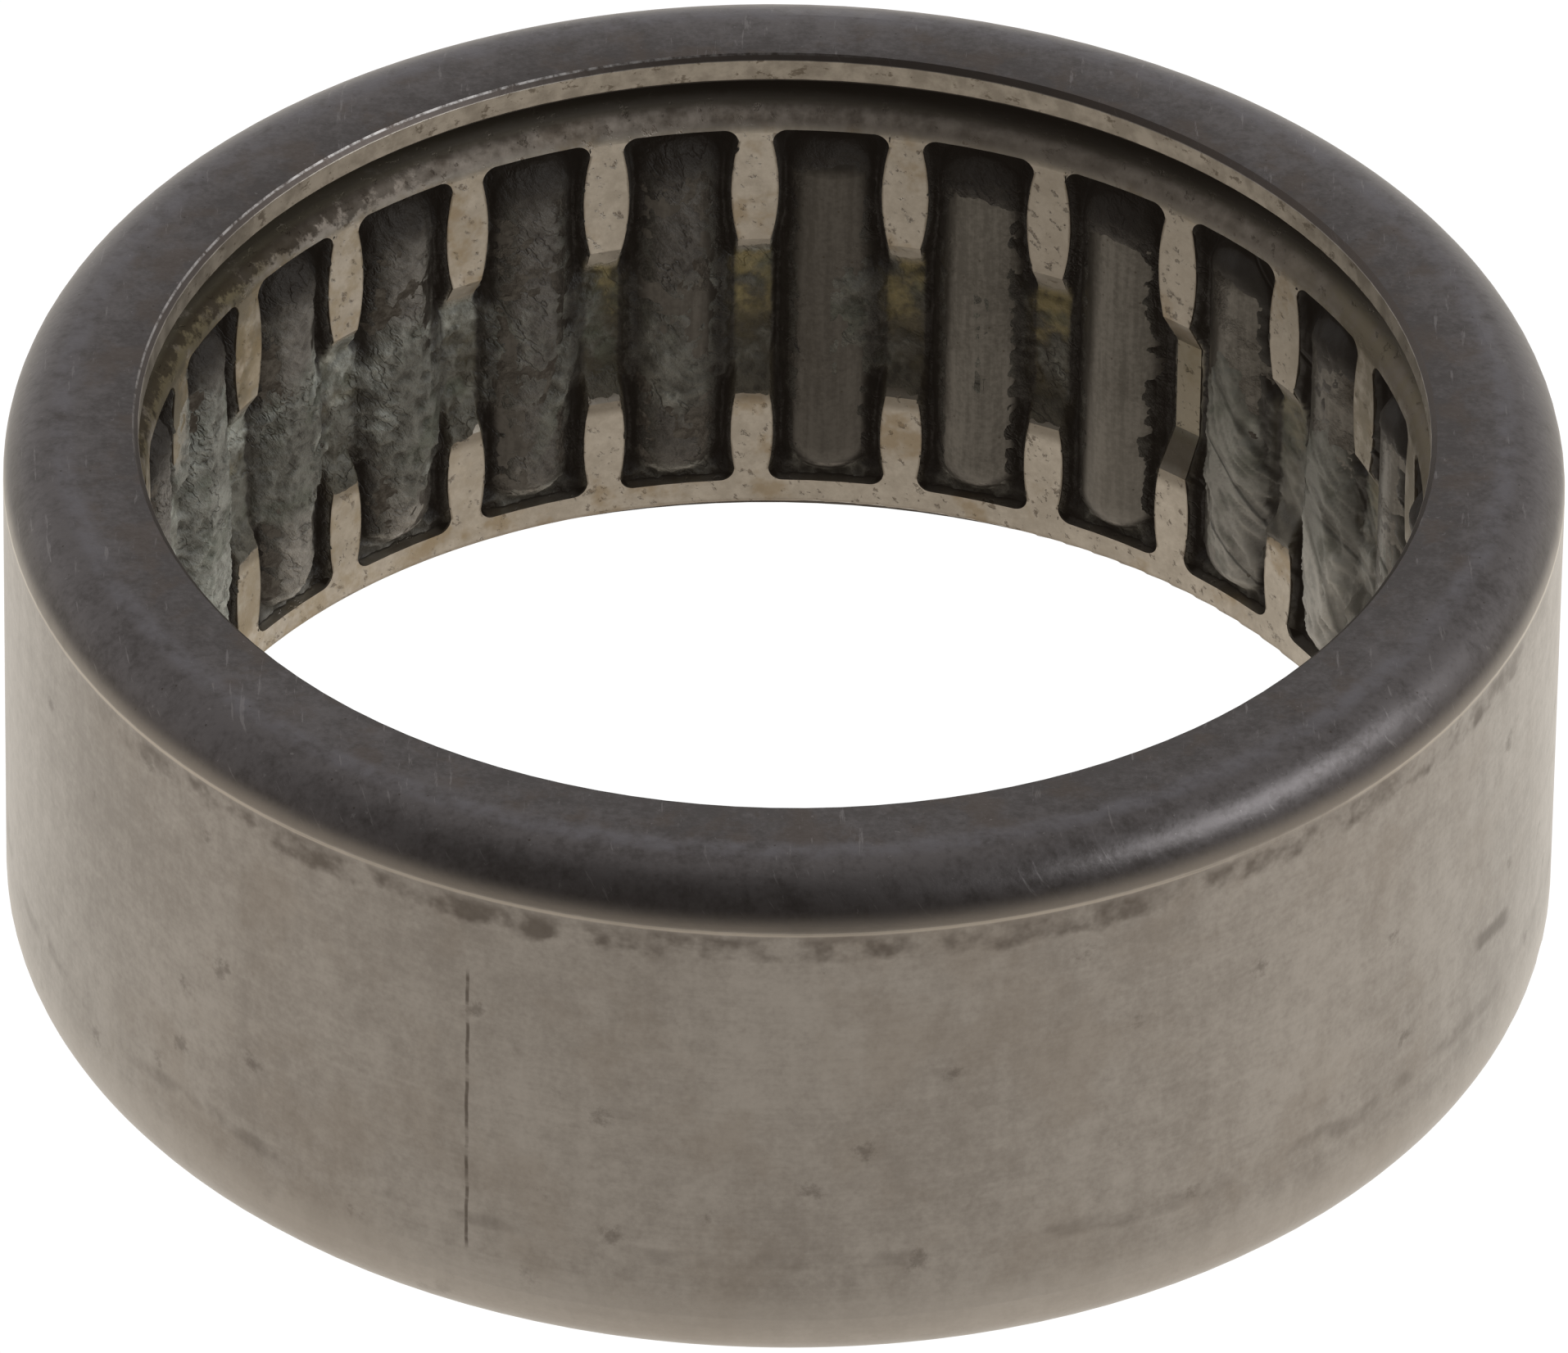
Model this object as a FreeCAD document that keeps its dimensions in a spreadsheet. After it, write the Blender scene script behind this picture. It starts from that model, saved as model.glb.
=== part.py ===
import FreeCAD, Part
import math
import os

import Sketcher

# Caged needle roller bearing, 42 x 52 x 20 mm, open at both ends.
# The bearing's axis is Z and the origin is on it, half way up.  All lengths are in millimetres.
# A steel outer cup with two in-turned lips holds one stamped cage and a full ring of rollers.
# The rollers run on the cup's inside wall and, inwards, on a shaft that is not part of the bearing.

PARTS_FOLDER = "parts"
ROLLER_COUNT = 26
SIZE_SHEET = "sizes"

# alias, value or formula, meaning
SIZES = [
    ("half_width", "10.0", "half of the bearing's width"),
    ("outside_radius", "26.0", "ground seat that presses into the housing"),
    ("wall", "1.15", "thickness of the cup's wall and lips"),
    ("top_bend", "2.0", "outer radius of the upper bend"),
    ("foot_bend", "2.3", "outer radius of the lower, closed-in bend"),
    ("top_lip_bore", "21.5", "bore of the upper lip"),
    ("foot_lip_bore", "23.4", "bore of the shorter lower lip"),
    ("lip_break", "0.2", "chamfer on the edges of the upper lip"),
    ("foot_break", "0.15", "chamfer on the inner edge of the lower lip"),
    ("race_radius", "=outside_radius - wall", "track on the cup's inside wall"),
    ("top_face", "=half_width", "height of the upper face"),
    ("seat_top", "=half_width - top_bend", "upper end of the ground seat"),
    ("top_flat", "=outside_radius - top_bend", "outer radius of the upper face"),
    ("top_flat_in", "=top_lip_bore + lip_break", "inner radius of the upper face"),
    ("lip_bore_top", "=half_width - lip_break", "upper end of the lip's bore"),
    ("lip_under", "=half_width - wall", "underside of the upper lip"),
    ("lip_bore_low", "=half_width - wall + lip_break", "lower end of the lip's bore"),
    ("top_bend_in", "=top_bend - wall", "inner radius of the upper bend"),
    ("foot_face", "=-half_width", "height of the lower face"),
    ("seat_foot", "=-half_width + foot_bend", "lower end of the ground seat"),
    ("foot_flat", "=outside_radius - foot_bend", "outer radius of the lower face"),
    ("foot_lip_over", "=-half_width + wall", "upper side of the lower lip"),
    ("foot_break_low", "=-half_width + wall - foot_break", "lower end of that lip's chamfer"),
    ("foot_break_out", "=foot_lip_bore + foot_break", "outer end of that lip's chamfer"),
    ("foot_bend_in", "=foot_bend - wall", "inner radius of the lower bend"),
    ("inscribed_radius", "21.0", "circle inside the rollers, the shaft's radius"),
    ("roller_radius", "1.9", "roller radius"),
    ("roller_length", "14.3", "roller length over its domed ends"),
    ("roller_dome", "1.5", "radius of the domed end's edge"),
    ("roller_middle", "-0.35", "height of the rollers' middle"),
    ("pitch_radius", "=inscribed_radius + roller_radius", "circle of the rollers' axes"),
    ("roller_end", "=roller_length / 2", "half a roller"),
    ("roller_foot", "=-roller_length / 2", "other half of a roller"),
    ("dome_top", "=roller_length / 2 - roller_dome", "upper end of the straight part"),
    ("dome_foot", "=-roller_length / 2 + roller_dome", "lower end of the straight part"),
    ("dome_flat", "=roller_radius - roller_dome", "flat left at a roller's end"),
    ("axis_line", "0", "on a roller's own axis"),
    ("sheet", "0.7", "thickness of the cage's sheet"),
    ("land_radius", "21.3", "inside of the cage's two lands"),
    ("waist_radius", "22.1", "inside of the cage's middle, set back from the lands"),
    ("flange_radius", "23.9", "outside of the cage's two flanges"),
    ("cage_top", "7.85", "top of the cage"),
    ("cage_foot", "-8.48", "foot of the cage"),
    ("top_corner_bend", "0.9", "bend from the upper land into its flange, seen from the bore"),
    ("foot_corner_bend", "0.12", "the same at the foot, coined sharper"),
    ("top_land_end", "2.56", "lower end of the upper land"),
    ("top_waist", "1.2", "upper end of the set-back middle"),
    ("foot_waist", "-2.4", "lower end of the set-back middle"),
    ("foot_land_end", "-3.77", "upper end of the lower land"),
    ("joggle", "0.19", "shift of the slopes on the sheet's outer side"),
    ("land_out", "=land_radius + sheet", "outside of the lands"),
    ("waist_out", "=waist_radius + sheet", "outside of the middle"),
    ("top_corner_out", "=land_radius + top_corner_bend", "radius where the upper corner bend ends"),
    ("top_corner", "=cage_top - top_corner_bend", "lower end of the upper corner bend"),
    ("foot_corner_out", "=land_radius + foot_corner_bend", "radius where the lower corner bend ends"),
    ("foot_corner", "=cage_foot + foot_corner_bend", "upper end of the lower corner bend"),
    ("top_flange_under", "=cage_top - sheet", "underside of the upper flange"),
    ("foot_flange_over", "=cage_foot + sheet", "upper side of the lower flange"),
    ("top_land_out", "=top_land_end + joggle", "end of the upper land, outer side"),
    ("top_waist_out", "=top_waist + joggle", "upper end of the middle, outer side"),
    ("foot_waist_out", "=foot_waist - joggle", "lower end of the middle, outer side"),
    ("foot_land_out", "=foot_land_end - joggle", "end of the lower land, outer side"),
    ("pocket_top", "7.08", "upper end of a pocket"),
    ("pocket_foot", "-7.54", "lower end of a pocket"),
    ("pocket_corner", "0.5", "radius of a pocket's corners"),
    ("neck_right", "1.985", "half a pocket's width at its ends"),
    ("land_end_right", "2.01", "half its width where the lands end"),
    ("waist_right", "2.165", "half its width along the middle"),
    ("bulge_bend", "8.6", "radius of the swelling on each land of a bar"),
    ("neck_left", "=-neck_right", "the same on the other side"),
    ("land_end_left", "=-land_end_right", "the same on the other side"),
    ("waist_left", "=-waist_right", "the same on the other side"),
    ("end_right", "=neck_right - pocket_corner", "where a corner meets a pocket's end"),
    ("end_left", "=pocket_corner - neck_right", "the same on the other side"),
    ("pocket_top_corner", "=pocket_top - pocket_corner", "where a corner meets a pocket's side"),
    ("pocket_foot_corner", "=pocket_foot + pocket_corner", "the same at the foot"),
    ("pocket_reach", "23.4", "how far out from the axis a pocket is cut"),
    ("roller_count", str(ROLLER_COUNT), "rollers, and pockets in the cage"),
    ("first_roller_turn", "3.87", "first roller's place, in degrees from +Y towards +X"),
]

# Corners of each outline as (across, up, bend radius, side of the bend's centre).
# A bend belongs to the side that leaves its corner.  LEFT and RIGHT are seen along the outline.
LEFT = 1
RIGHT = -1

CUP_OUTLINE = [
    ("outside_radius", "seat_foot"),
    ("outside_radius", "seat_top", "top_bend", LEFT),
    ("top_flat", "top_face"),
    ("top_flat_in", "top_face"),
    ("top_lip_bore", "lip_bore_top"),
    ("top_lip_bore", "lip_bore_low"),
    ("top_flat_in", "lip_under"),
    ("top_flat", "lip_under", "top_bend_in", RIGHT),
    ("race_radius", "seat_top"),
    ("race_radius", "seat_foot", "foot_bend_in", RIGHT),
    ("foot_flat", "foot_lip_over"),
    ("foot_break_out", "foot_lip_over"),
    ("foot_lip_bore", "foot_break_low"),
    ("foot_lip_bore", "foot_face"),
    ("foot_flat", "foot_face", "foot_bend", LEFT),
]

ROLLER_OUTLINE = [
    ("axis_line", "roller_foot"),
    ("dome_flat", "roller_foot", "roller_dome", LEFT),
    ("roller_radius", "dome_foot"),
    ("roller_radius", "dome_top", "roller_dome", LEFT),
    ("dome_flat", "roller_end"),
    ("axis_line", "roller_end"),
]

CAGE_OUTLINE = [
    ("flange_radius", "top_flange_under"),
    ("flange_radius", "cage_top"),
    ("top_corner_out", "cage_top", "top_corner_bend", LEFT),
    ("land_radius", "top_corner"),
    ("land_radius", "top_land_end"),
    ("waist_radius", "top_waist"),
    ("waist_radius", "foot_waist"),
    ("land_radius", "foot_land_end"),
    ("land_radius", "foot_corner", "foot_corner_bend", LEFT),
    ("foot_corner_out", "cage_foot"),
    ("flange_radius", "cage_foot"),
    ("flange_radius", "foot_flange_over"),
    ("land_out", "foot_flange_over"),
    ("land_out", "foot_land_out"),
    ("waist_out", "foot_waist_out"),
    ("waist_out", "top_waist_out"),
    ("land_out", "top_land_out"),
    ("land_out", "top_flange_under"),
]

POCKET_OUTLINE = [
    ("end_right", "pocket_foot", "pocket_corner", LEFT),
    ("neck_right", "pocket_foot_corner", "bulge_bend", RIGHT),
    ("land_end_right", "foot_land_end"),
    ("waist_right", "foot_waist"),
    ("waist_right", "top_waist"),
    ("land_end_right", "top_land_end", "bulge_bend", RIGHT),
    ("neck_right", "pocket_top_corner", "pocket_corner", LEFT),
    ("end_right", "pocket_top"),
    ("end_left", "pocket_top", "pocket_corner", LEFT),
    ("neck_left", "pocket_top_corner", "bulge_bend", RIGHT),
    ("land_end_left", "top_land_end"),
    ("waist_left", "top_waist"),
    ("waist_left", "foot_waist"),
    ("land_end_left", "foot_land_end", "bulge_bend", RIGHT),
    ("neck_left", "pocket_foot_corner", "pocket_corner", LEFT),
    ("end_left", "pocket_foot"),
]


def size_sheet(doc):
    """Spreadsheet with one named row per size."""
    sheet = doc.addObject("Spreadsheet::Sheet", SIZE_SHEET)
    for row, (alias, value, meaning) in enumerate(SIZES, start=1):
        sheet.set("A%d" % row, meaning)
        sheet.set("B%d" % row, value)
        sheet.setAlias("B%d" % row, alias)
    doc.recompute()
    return sheet


def origin_part(body, role):
    """Plane or axis of a body's own origin."""
    for feature in body.Origin.OriginFeatures:
        if feature.Role == role:
            return feature
    raise RuntimeError("no origin feature " + role)


def arc_side(start, end, radius, centre_side):
    """Circular side from start to end; returns the arc and its start and end point numbers."""
    chord = end.sub(start)
    middle = start.add(end).multiply(0.5)
    left = FreeCAD.Vector(-chord.y, chord.x, 0).normalize()
    reach = math.sqrt(max(radius ** 2 - (chord.Length / 2) ** 2, 0.0))
    centre = middle.add(left.multiply(reach * centre_side))
    first, last = (start, end) if centre_side == LEFT else (end, start)
    first_angle = math.atan2(first.y - centre.y, first.x - centre.x)
    last_angle = math.atan2(last.y - centre.y, last.x - centre.x)
    if last_angle < first_angle:
        last_angle += 2 * math.pi
    circle = Part.Circle(centre, FreeCAD.Vector(0, 0, 1), radius)
    arc = Part.ArcOfCircle(circle, first_angle, last_angle)
    return arc, (1, 2) if centre_side == LEFT else (2, 1)


def outline_sketch(body, name, sheet, outline):
    """Closed sketch on the body's XZ plane, every corner and bend bound to the size sheet."""
    sketch = body.newObject("Sketcher::SketchObject", name)
    sketch.AttachmentSupport = [(origin_part(body, "XZ_Plane"), "")]
    sketch.MapMode = "FlatFace"
    corners = []
    for corner in outline:
        across = float(sheet.get(corner[0]))
        up = float(sheet.get(corner[1]))
        corners.append(FreeCAD.Vector(across, up, 0))
    ends = []
    bends = []
    for index, corner in enumerate(outline):
        start = corners[index]
        end = corners[(index + 1) % len(corners)]
        if len(corner) == 4:
            side, point_numbers = arc_side(start, end, float(sheet.get(corner[2])), corner[3])
            bends.append((index, corner[2]))
        else:
            side = Part.LineSegment(start, end)
            point_numbers = (1, 2)
        sketch.addGeometry(side, False)
        ends.append(point_numbers)
    count = len(outline)
    for index in range(count):
        following = (index + 1) % count
        joint = Sketcher.Constraint("Coincident", index, ends[index][1],
                                    following, ends[following][0])
        sketch.addConstraint(joint)
    for index, corner in enumerate(outline):
        for kind, alias, value in (("DistanceX", corner[0], corners[index].x),
                                   ("DistanceY", corner[1], corners[index].y)):
            place = Sketcher.Constraint(kind, -1, 1, index, ends[index][0], value)
            number = sketch.addConstraint(place)
            sketch.setExpression("Constraints[%d]" % number, SIZE_SHEET + "." + alias)
    for index, alias in bends:
        number = sketch.addConstraint(Sketcher.Constraint("Radius", index,
                                                          float(sheet.get(alias))))
        sketch.setExpression("Constraints[%d]" % number, SIZE_SHEET + "." + alias)
    return sketch


def turned_body(doc, name, sheet, outline):
    """Body made by turning an outline once around the Z axis."""
    body = doc.addObject("PartDesign::Body", name)
    body.Label = name
    sketch = outline_sketch(body, name + "_outline", sheet, outline)
    turned = body.newObject("PartDesign::Revolution", name + "_turned")
    turned.Profile = sketch
    turned.ReferenceAxis = (origin_part(body, "Z_Axis"), [""])
    turned.Angle = 360
    body.Tip = turned
    return body


def cut_pockets(doc, cage, sheet):
    """One pocket through the cage's wall at +Y, repeated around the axis."""
    doc.recompute()
    whole = cage.Shape.Volume
    sketch = outline_sketch(cage, "pocket_outline", sheet, POCKET_OUTLINE)
    pocket = cage.newObject("PartDesign::Pocket", "pocket")
    pocket.Profile = sketch
    pocket.setExpression("Length", SIZE_SHEET + ".pocket_reach")
    cage.Tip = pocket
    doc.recompute()
    one_less = whole - cage.Shape.Volume
    ring = cage.newObject("PartDesign::PolarPattern", "pocket_ring")
    ring.Originals = [pocket]
    ring.Axis = (origin_part(cage, "Z_Axis"), [""])
    ring.Angle = 360
    ring.setExpression("Occurrences", SIZE_SHEET + ".roller_count")
    cage.Tip = ring
    doc.recompute()
    all_less = whole - cage.Shape.Volume
    if one_less <= 0 or abs(all_less - ROLLER_COUNT * one_less) > 0.001 * all_less:
        raise RuntimeError("the pockets did not all cut the cage")


def place_rollers(doc, sheet):
    """Ring of equal rollers, each standing on its own axis parallel to Z."""
    first_turn = math.radians(float(sheet.first_roller_turn))
    pitch = float(sheet.pitch_radius)
    rollers = []
    for index in range(ROLLER_COUNT):
        roller = turned_body(doc, "roller_%02d" % (index + 1), sheet, ROLLER_OUTLINE)
        turn = first_turn + 2 * math.pi * index / ROLLER_COUNT
        place = FreeCAD.Vector(pitch * math.sin(turn), pitch * math.cos(turn),
                               float(sheet.roller_middle))
        roller.Placement = FreeCAD.Placement(place, FreeCAD.Rotation())
        rollers.append(roller)
    return rollers


def check(doc, bodies):
    """Stop on any failed object or on a body that is not one valid solid."""
    for item in doc.Objects:
        if "Invalid" in item.State or "Error" in item.State:
            raise RuntimeError("failed object " + item.Name)
    for body in bodies:
        shape = body.Shape
        if shape.isNull() or not shape.isValid() or len(shape.Solids) != 1:
            raise RuntimeError("bad solid in " + body.Label)


doc = FreeCAD.newDocument("needle_roller_bearing")
sizes = size_sheet(doc)

cup = turned_body(doc, "outer_cup", sizes, CUP_OUTLINE)
cage = turned_body(doc, "cage", sizes, CAGE_OUTLINE)
cut_pockets(doc, cage, sizes)
cage.Placement = FreeCAD.Placement(FreeCAD.Vector(0, 0, 0), FreeCAD.Rotation(
    FreeCAD.Vector(0, 0, 1), -float(sizes.first_roller_turn)))
rollers = place_rollers(doc, sizes)
doc.recompute()

bodies = [cup, cage] + rollers
check(doc, bodies)
os.makedirs(PARTS_FOLDER, exist_ok=True)
for body in bodies:
    body.Shape.exportStep(os.path.join(PARTS_FOLDER, body.Label + ".step"))
print("wrote", len(bodies), "parts")
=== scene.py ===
"""Needle roller bearing: finishes, grease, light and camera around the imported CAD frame.

Z is the bearing's axis and points up.  Blender works in metres, and the sizes below are in millimetres.
A turn is an angle around the axis from +Y towards +X: 0 is the far side of the bore as the camera sees
it, and positive turns are on the right.
"""
import math
import random

import bpy
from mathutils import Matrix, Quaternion, Vector, noise


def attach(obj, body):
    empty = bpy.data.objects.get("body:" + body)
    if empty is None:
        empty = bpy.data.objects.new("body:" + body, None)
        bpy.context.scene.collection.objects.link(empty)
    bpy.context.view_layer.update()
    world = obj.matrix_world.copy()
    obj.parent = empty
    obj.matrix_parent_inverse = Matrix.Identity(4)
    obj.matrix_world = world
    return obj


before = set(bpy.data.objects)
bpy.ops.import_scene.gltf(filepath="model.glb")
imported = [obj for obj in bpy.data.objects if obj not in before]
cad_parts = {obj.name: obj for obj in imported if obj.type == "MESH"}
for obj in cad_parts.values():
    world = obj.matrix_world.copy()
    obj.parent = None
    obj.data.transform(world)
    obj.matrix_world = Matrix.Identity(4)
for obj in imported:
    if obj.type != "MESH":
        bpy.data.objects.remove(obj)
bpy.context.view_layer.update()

MM = 0.001

# ---- sizes of the bearing in millimetres, the same as in the CAD source --------------------------
OUTSIDE_RADIUS = 26.0
HALF_WIDTH = 10.0
WALL_RADIUS = 24.85          # cup, inside of the wall
LIP_UNDERSIDE = 8.85
TOP_LIP_BORE = 21.5
TOP_FLAT = 24.0              # outer radius of the flat upper face
SEAT_TOP = 8.0               # upper end of the ground outside
LAND_RADIUS = 21.3           # cage, inside of the two lands
WAIST_RADIUS = 22.1          # cage, inside of the set-back middle
TOP_LAND_END, TOP_WAIST = 2.56, 1.2
FOOT_WAIST, FOOT_LAND_END = -2.4, -3.77
CAGE_TOP, CAGE_FOOT = 7.85, -8.48
ROLLER_RADIUS = 1.9
ROLLER_DOME = 1.5            # radius of the rounding at a roller's ends
DOME_TOP, DOME_FOOT = 5.3, -6.0
PITCH_RADIUS = 22.9
POCKET_HALF = 1.985          # half width of a pocket at its ends
SWELLINGS = (4.57, 2.01, 0.235), (-5.40, 1.64, 0.157)      # middle, half height and depth on both lands
ROLLER_COUNT = 26
FIRST_TURN = math.radians(3.87)
PITCH_TURN = 2 * math.pi / ROLLER_COUNT


# ---- node helpers ---------------------------------------------------------------------------------
class Nodes:
    """Adds nodes to one tree and links them.  Every value is a socket or a constant."""

    def __init__(self, tree):
        self.tree = tree

    def node(self, kind, **settings):
        made = self.tree.nodes.new(kind)
        for name, value in settings.items():
            setattr(made, name, value)
        return made

    def link(self, source, target):
        self.tree.links.new(source, target)

    def put(self, value, socket):
        """Link a socket, or set a constant.  A colour is three numbers and gets an alpha of 1."""
        if isinstance(value, bpy.types.NodeSocket):
            self.link(value, socket)
        elif isinstance(value, tuple):
            socket.default_value = (*value, 1.0)
        else:
            socket.default_value = value

    def math(self, operation, first, second=0.0, clamp=False):
        made = self.node("ShaderNodeMath", operation=operation, use_clamp=clamp)
        self.put(first, made.inputs[0])
        self.put(second, made.inputs[1])
        return made.outputs[0]

    def plus(self, *terms):
        total = terms[0]
        for term in terms[1:]:
            total = self.math("ADD", total, term)
        return total

    def less(self, first, second):
        return self.math("SUBTRACT", first, second)

    def times(self, *factors):
        product = factors[0]
        for factor in factors[1:]:
            product = self.math("MULTIPLY", product, factor)
        return product

    def most(self, first, *others):
        for other in others:
            first = self.math("MAXIMUM", first, other)
        return first

    def size_of(self, value):
        return self.math("ABSOLUTE", value)

    def ramp(self, value, start, end, low, high):
        """low at start, high at end, smooth between them."""
        made = self.node("ShaderNodeMapRange", interpolation_type="SMOOTHSTEP")
        self.put(value, made.inputs["Value"])
        for name, number in (("From Min", start), ("From Max", end), ("To Min", low), ("To Max", high)):
            made.inputs[name].default_value = number
        return made.outputs[0]

    def mix(self, amount, first, second):
        """Colour: first where amount is 0, second where it is 1."""
        made = self.node("ShaderNodeMix", data_type="RGBA")
        self.put(amount, made.inputs[0])
        self.put(first, made.inputs[6])
        self.put(second, made.inputs[7])
        return made.outputs[2]


class Finish(Nodes):
    """The nodes of one material.  Places are in millimetres, in the bearing's own frame."""

    def __init__(self, name):
        self.material = bpy.data.materials.new(name)
        self.material.use_nodes = True
        super().__init__(self.material.node_tree)
        self.tree.nodes.clear()
        output = self.node("ShaderNodeOutputMaterial")
        self.shader = self.node("ShaderNodeBsdfPrincipled")
        self.link(self.shader.outputs[0], output.inputs["Surface"])
        coordinates = self.node("ShaderNodeTexCoord")
        scaled = self.node("ShaderNodeVectorMath", operation="SCALE")
        scaled.inputs["Scale"].default_value = 1 / MM
        self.link(coordinates.outputs["Object"], scaled.inputs[0])
        self.place = scaled.outputs[0]
        split = self.node("ShaderNodeSeparateXYZ")
        self.link(self.place, split.inputs[0])
        self.x, self.y, self.z = split.outputs
        self.radius = self.math("SQRT", self.plus(self.times(self.x, self.x), self.times(self.y, self.y)))
        self.turn = self.math("ARCTAN2", self.x, self.y)

    # -- masks, 0 to 1
    def step(self, value, low, high):
        """0 at low, 1 at high."""
        return self.ramp(value, low, high, 0.0, 1.0)

    def fall(self, value, low, high):
        """1 at low, 0 at high."""
        return self.less(1.0, self.step(value, low, high))

    def band(self, value, middle, half, soft):
        """1 within half of middle, 0 beyond half + soft."""
        return self.fall(self.size_of(self.less(value, middle)), half, half + soft)

    def right_of(self, start, full):
        """0 up to the turn start, 1 from the turn full, in degrees."""
        return self.step(self.turn, math.radians(start), math.radians(full))

    def left_of(self, start, full):
        """The same towards the left: full is the smaller turn."""
        return self.fall(self.turn, math.radians(full), math.radians(start))

    def shifted(self, value, wobble, reach):
        """The value moved by up to reach, following a noise."""
        return self.plus(value, self.times(self.less(wobble, 0.5), 2 * reach))

    def beside_bar(self):
        """Distance along the ring from the middle of the nearest bar."""
        bar = self.math("MODULO", self.plus(self.turn, 2 * math.pi - FIRST_TURN), PITCH_TURN)
        return self.times(self.size_of(self.less(bar, PITCH_TURN / 2)), LAND_RADIUS)

    # -- places for noises
    def joined(self, *numbers):
        made = self.node("ShaderNodeCombineXYZ")
        for number, socket in zip(numbers, made.inputs):
            self.link(number, socket)
        return made.outputs[0]

    def drawn(self, across, along, by_radius=0.0):
        """Cells are 1/across wide over the ring and 1/along high on the axis."""
        lifted = self.plus(self.times(self.z, along), self.times(self.radius, by_radius))
        return self.joined(self.times(self.x, across), self.times(self.y, across), lifted)

    def slanted(self, along, across):
        """Strokes that run down to the right on the far side of the bore."""
        stroke = self.less(self.times(self.x, 0.6), self.times(self.z, 0.8))
        beside = self.plus(self.times(self.x, 0.8), self.times(self.z, 0.6))
        return self.joined(self.times(stroke, along), self.times(beside, across), self.times(self.y, along))

    # -- textures
    def noise(self, scale, detail=4.0, rough=0.55, vector=None):
        made = self.node("ShaderNodeTexNoise")
        self.link(self.place if vector is None else vector, made.inputs["Vector"])
        made.inputs["Scale"].default_value = scale
        made.inputs["Detail"].default_value = detail
        made.inputs["Roughness"].default_value = rough
        return made.outputs[0]

    def creases(self, scale, width, vector, detail=3.0):
        """1 on thin winding lines."""
        return self.fall(self.size_of(self.less(self.noise(scale, detail, 0.6, vector), 0.5)), 0.0, width)

    def cells(self, scale):
        """Distance to the nearest of a cloud of points."""
        made = self.node("ShaderNodeTexVoronoi")
        self.link(self.place, made.inputs["Vector"])
        made.inputs["Scale"].default_value = scale
        return made.outputs["Distance"]

    def stored(self, name):
        """A number that the mesh carries at its corners."""
        return self.node("ShaderNodeAttribute", attribute_name=name).outputs["Fac"]

    # -- results
    def blend(self, amount, first, second):
        """Number: first where amount is 0, second where it is 1."""
        made = self.node("ShaderNodeMix", data_type="FLOAT")
        self.put(amount, made.inputs[0])
        self.put(first, made.inputs[2])
        self.put(second, made.inputs[3])
        return made.outputs[0]

    def over(self, base, paint, *shares):
        """Paint laid over a base colour, as much as the product of the shares."""
        return self.mix(self.times(*shares), base, paint)

    def bump(self, height, depth, normal=None):
        """Raise the surface by depth millimetres where height is 1."""
        made = self.node("ShaderNodeBump")
        made.inputs["Strength"].default_value = 1.0
        made.inputs["Distance"].default_value = depth * MM
        self.link(height, made.inputs["Height"])
        if normal is not None:
            self.link(normal, made.inputs["Normal"])
        return made.outputs[0]

    def done(self, colour, rough, normal, metallic=1.0, **constants):
        self.link(colour, self.shader.inputs["Base Color"])
        self.link(rough, self.shader.inputs["Roughness"])
        self.link(normal, self.shader.inputs["Normal"])
        self.shader.inputs["Metallic"].default_value = metallic
        for name, value in constants.items():
            self.shader.inputs[name.replace("_", " ")].default_value = value
        return self.material


# ---- the cup --------------------------------------------------------------------------------------
# colours are linear; a pair runs from the darkest to the brightest part
GROUND = (0.306, 0.290, 0.272), (0.456, 0.440, 0.418)
GROUND_STAIN = (0.292, 0.258, 0.222)
GROUND_GRAIN = (0.190, 0.165, 0.140)
GROUND_MARK = (0.085, 0.070, 0.058)
GROUND_FLOOR_REFLECTION = (0.56, 0.54, 0.51)
SEAT_END = (0.27, 0.252, 0.230)
SEAT_GLINT = (0.60, 0.56, 0.50)
HEATED = (0.050, 0.046, 0.045), (0.089, 0.083, 0.083)
HEATED_TAN = (0.064, 0.051, 0.042)
CREST_POLISH_AND_SHEEN = (0.116, 0.114, 0.126)
HEATED_SPECK = (0.030, 0.024, 0.020)
HEATED_HAIR = (0.190, 0.180, 0.178)
LIP_CHAMFER = (0.050, 0.042, 0.037)
EDGE_WEAR_AND_GLINT = (0.30, 0.29, 0.28)
BARE = (0.31, 0.285, 0.245), (0.47, 0.437, 0.382)
BARE_PIT = (0.12, 0.098, 0.072)
BARE_DEEP = (0.105, 0.095, 0.085)


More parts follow.
